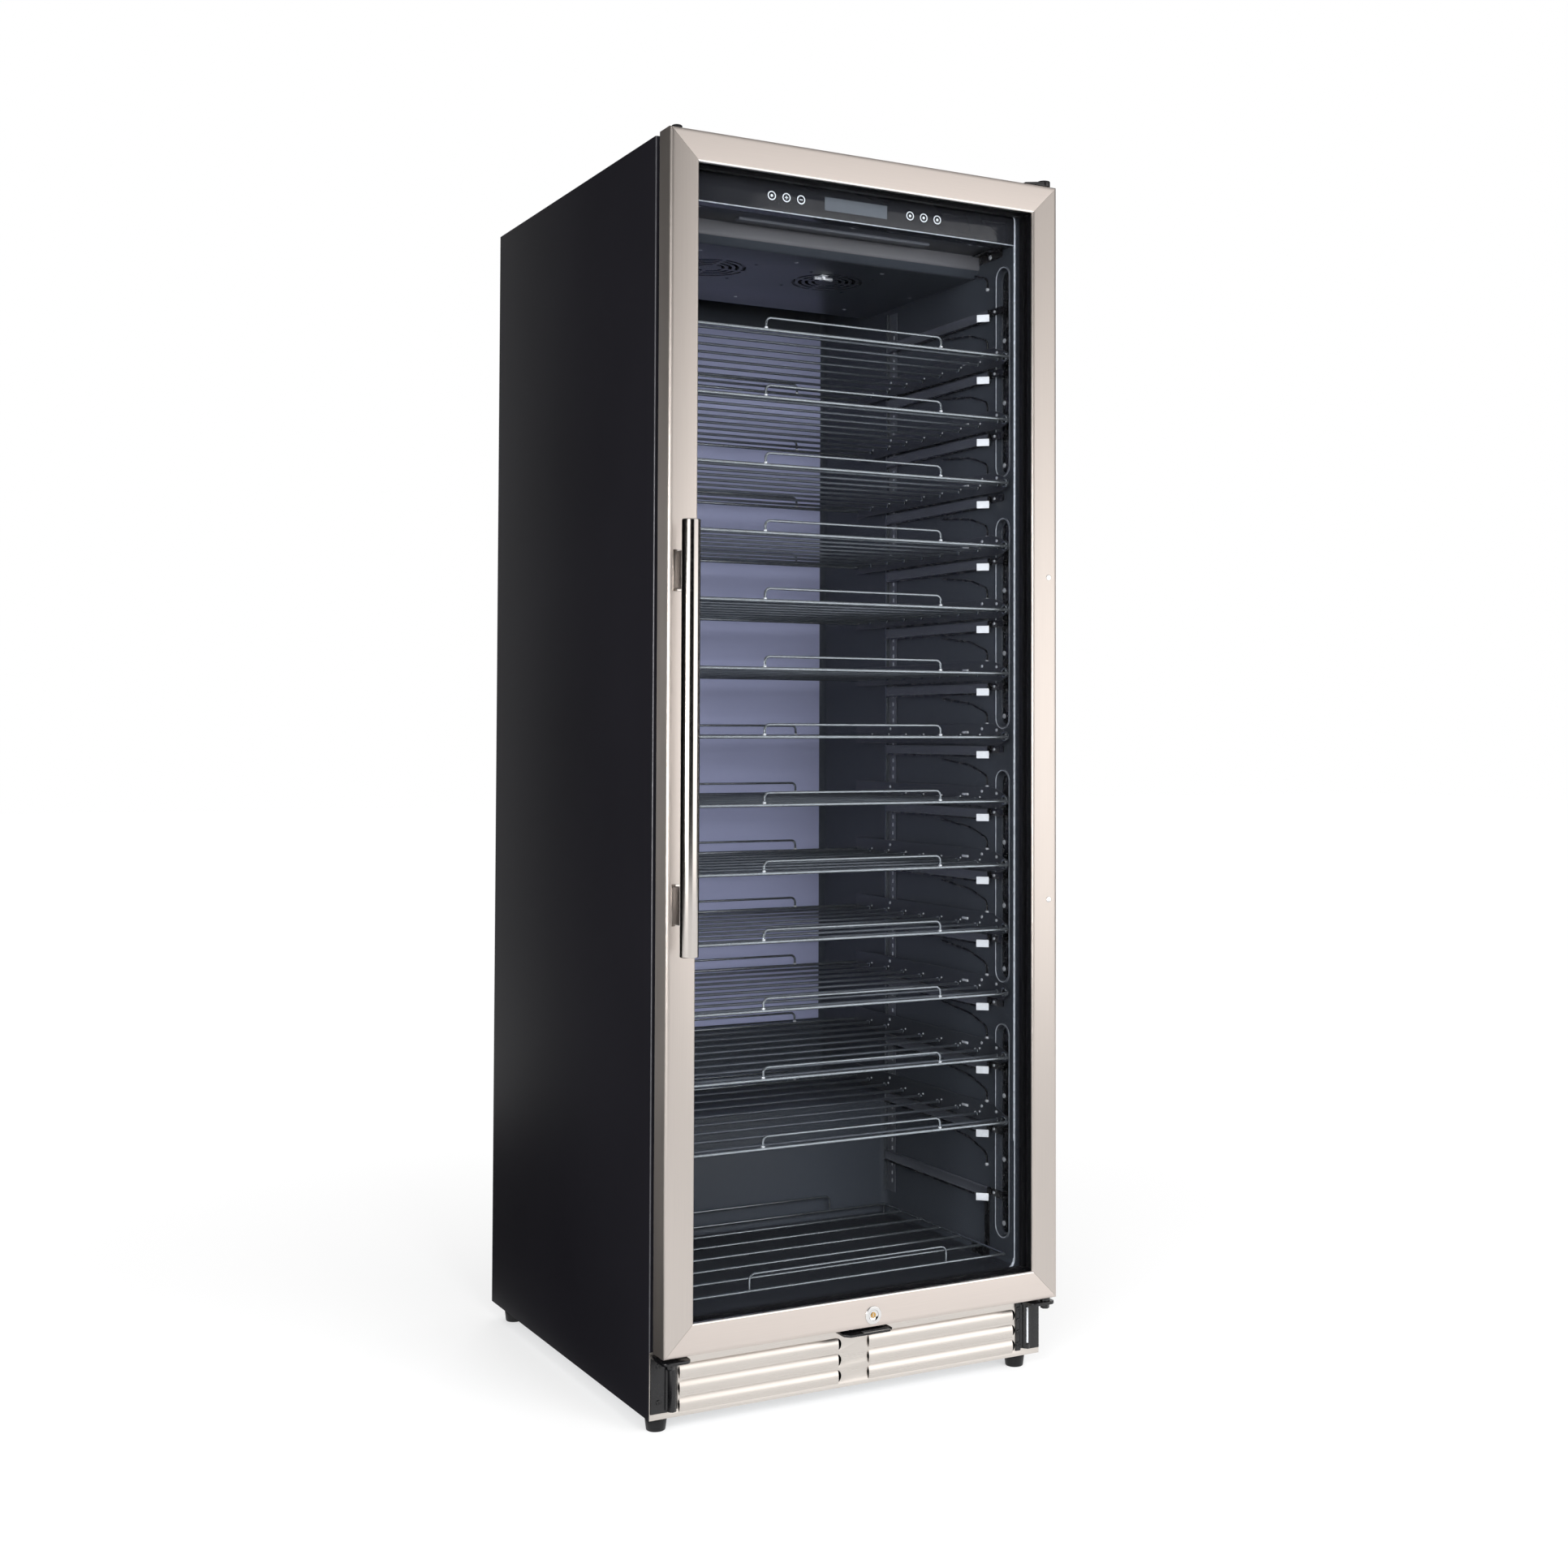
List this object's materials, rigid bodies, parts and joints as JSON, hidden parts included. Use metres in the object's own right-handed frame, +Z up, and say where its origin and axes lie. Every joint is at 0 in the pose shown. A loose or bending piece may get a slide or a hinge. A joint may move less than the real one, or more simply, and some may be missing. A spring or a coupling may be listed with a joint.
{
  "type": "reach in refrigerator",
  "caption": "Upright narrow bottle refrigerator with a framed glass door, bar handle, lock, sliding wire shelves, top control panel and louvred kick grille.",
  "frame": {"origin": "on the floor, under the middle of the bounding box, with the door closed", "axes": "+Z up, +X to the right and +Y towards the back as seen from the front"},
  "size_m": [0.595, 0.705, 1.673],
  "materials": {
    "black_paint": "satin near-black paint on steel sheet",
    "galvanised_steel": "plain galvanised sheet",
    "black_plastic": "black plastic and rubber",
    "liner_plastic": "glossy dark blue-grey liner",
    "foam": "rigid insulating foam",
    "air_panel": "pale lavender panel under the light",
    "brushed_steel": "brushed stainless steel with a warm tone",
    "polished_steel": "polished stainless steel",
    "black_steel": "black coated steel",
    "black_wire": "glossy black coated wire",
    "gloss_black": "glossy black control panel",
    "display": "grey display window",
    "key_grey": "pale grey keys with dark signs",
    "light_diffuser": "milky light cover",
    "aluminium": "bare aluminium fins",
    "glass": "clear double glazing"
  },
  "bodies": {
    "cabinet": {"side_panel_left": "black_paint", "side_panel_right": "black_paint", "top_panel": "black_paint", "back_panel": "galvanised_steel", "base_plate": "galvanised_steel", "rear_cover": "galvanised_steel", "foot_front_left": "black_plastic", "foot_front_right": "black_plastic", "foot_back_left": "black_plastic", "foot_back_right": "black_plastic", "inner_liner": "liner_plastic", "foam_insulation": "foam", "rear_air_panel": "air_panel", "kick_grille": "brushed_steel", "strike_plate": "black_steel", "lower_hinge_right": "black_steel", "lower_hinge_left": "black_steel", "top_hinge": "black_steel", "control_fascia": "gloss_black", "display_window": "display", "fan_duct_cover": "liner_plastic", "led_bar": "light_diffuser", "fan_mount": "black_plastic", "evaporator": "aluminium", "runner_rack_left": "black_steel", "runner_rack_right": "black_steel", "bottom_rack": "black_wire", "compressor": "black_paint", "condenser": "aluminium"},
    "door": {"bottom_rail": "brushed_steel", "top_rail": "brushed_steel", "left_stile": "brushed_steel", "right_stile": "brushed_steel", "glass_unit": "glass", "door_gasket": "black_plastic", "handle": "polished_steel", "lock_body": "polished_steel"},
    "lock": {"lock_barrel": "polished_steel"},
    "evaporator_fan_left": {"evaporator_fan_left": "black_plastic"},
    "evaporator_fan_right": {"evaporator_fan_right": "black_plastic"},
    "condenser_fan": {"condenser_fan": "black_plastic"},
    "shelf_01": {"shelf_01": "black_wire"},
    "shelf_02": {"shelf_02": "black_wire"},
    "shelf_03": {"shelf_03": "black_wire"},
    "shelf_04": {"shelf_04": "black_wire"},
    "shelf_05": {"shelf_05": "black_wire"},
    "shelf_06": {"shelf_06": "black_wire"},
    "shelf_07": {"shelf_07": "black_wire"},
    "shelf_08": {"shelf_08": "black_wire"},
    "shelf_09": {"shelf_09": "black_wire"},
    "shelf_10": {"shelf_10": "black_wire"},
    "shelf_11": {"shelf_11": "black_wire"},
    "shelf_12": {"shelf_12": "black_wire"},
    "shelf_13": {"shelf_13": "black_wire"},
    "key_1": {"key_1": "key_grey"},
    "key_2": {"key_2": "key_grey"},
    "key_3": {"key_3": "key_grey"},
    "key_4": {"key_4": "key_grey"},
    "key_5": {"key_5": "key_grey"},
    "key_6": {"key_6": "key_grey"}
  },
  "joints": [
    {"name": "door_swing", "type": "hinge", "parent": "cabinet", "child": "door", "pos_m": [0.284, -0.2905, 0.9], "axis": [0, 0, 1], "range_deg": [0, 110]},
    {"name": "lock_turn", "type": "hinge", "parent": "door", "child": "lock", "pos_m": [0.003, -0.301, 0.126], "axis": [0, 1, 0], "range_deg": [0, 90]},
    {"name": "evaporator_fan_left_spin", "type": "hinge", "parent": "cabinet", "child": "evaporator_fan_left", "pos_m": [-0.118, -0.0275, 1.577], "axis": [0, 0, 1], "continuous": true},
    {"name": "evaporator_fan_right_spin", "type": "hinge", "parent": "cabinet", "child": "evaporator_fan_right", "pos_m": [0.073, -0.0275, 1.577], "axis": [0, 0, 1], "continuous": true},
    {"name": "condenser_fan_spin", "type": "hinge", "parent": "cabinet", "child": "condenser_fan", "pos_m": [0.14, 0.2555, 0.1315], "axis": [0, 1, 0], "continuous": true},
    {"name": "shelf_01_slide", "type": "slide", "parent": "cabinet", "child": "shelf_01", "axis": [0, -1, 0], "range_m": [0, 0.018]},
    {"name": "shelf_02_slide", "type": "slide", "parent": "cabinet", "child": "shelf_02", "axis": [0, -1, 0], "range_m": [0, 0.018]},
    {"name": "shelf_03_slide", "type": "slide", "parent": "cabinet", "child": "shelf_03", "axis": [0, -1, 0], "range_m": [0, 0.018]},
    {"name": "shelf_04_slide", "type": "slide", "parent": "cabinet", "child": "shelf_04", "axis": [0, -1, 0], "range_m": [0, 0.018]},
    {"name": "shelf_05_slide", "type": "slide", "parent": "cabinet", "child": "shelf_05", "axis": [0, -1, 0], "range_m": [0, 0.018]},
    {"name": "shelf_06_slide", "type": "slide", "parent": "cabinet", "child": "shelf_06", "axis": [0, -1, 0], "range_m": [0, 0.018]},
    {"name": "shelf_07_slide", "type": "slide", "parent": "cabinet", "child": "shelf_07", "axis": [0, -1, 0], "range_m": [0, 0.018]},
    {"name": "shelf_08_slide", "type": "slide", "parent": "cabinet", "child": "shelf_08", "axis": [0, -1, 0], "range_m": [0, 0.018]},
    {"name": "shelf_09_slide", "type": "slide", "parent": "cabinet", "child": "shelf_09", "axis": [0, -1, 0], "range_m": [0, 0.018]},
    {"name": "shelf_10_slide", "type": "slide", "parent": "cabinet", "child": "shelf_10", "axis": [0, -1, 0], "range_m": [0, 0.018]},
    {"name": "shelf_11_slide", "type": "slide", "parent": "cabinet", "child": "shelf_11", "axis": [0, -1, 0], "range_m": [0, 0.018]},
    {"name": "shelf_12_slide", "type": "slide", "parent": "cabinet", "child": "shelf_12", "axis": [0, -1, 0], "range_m": [0, 0.018]},
    {"name": "shelf_13_slide", "type": "slide", "parent": "cabinet", "child": "shelf_13", "axis": [0, -1, 0], "range_m": [0, 0.018]},
    {"name": "key_1_press", "type": "slide", "parent": "cabinet", "child": "key_1", "axis": [0, 1, 0], "range_m": [0, 0.0008], "stiffness_N_per_m": 600},
    {"name": "key_2_press", "type": "slide", "parent": "cabinet", "child": "key_2", "axis": [0, 1, 0], "range_m": [0, 0.0008], "stiffness_N_per_m": 600},
    {"name": "key_3_press", "type": "slide", "parent": "cabinet", "child": "key_3", "axis": [0, 1, 0], "range_m": [0, 0.0008], "stiffness_N_per_m": 600},
    {"name": "key_4_press", "type": "slide", "parent": "cabinet", "child": "key_4", "axis": [0, 1, 0], "range_m": [0, 0.0008], "stiffness_N_per_m": 600},
    {"name": "key_5_press", "type": "slide", "parent": "cabinet", "child": "key_5", "axis": [0, 1, 0], "range_m": [0, 0.0008], "stiffness_N_per_m": 600},
    {"name": "key_6_press", "type": "slide", "parent": "cabinet", "child": "key_6", "axis": [0, 1, 0], "range_m": [0, 0.0008], "stiffness_N_per_m": 600}
  ]
}
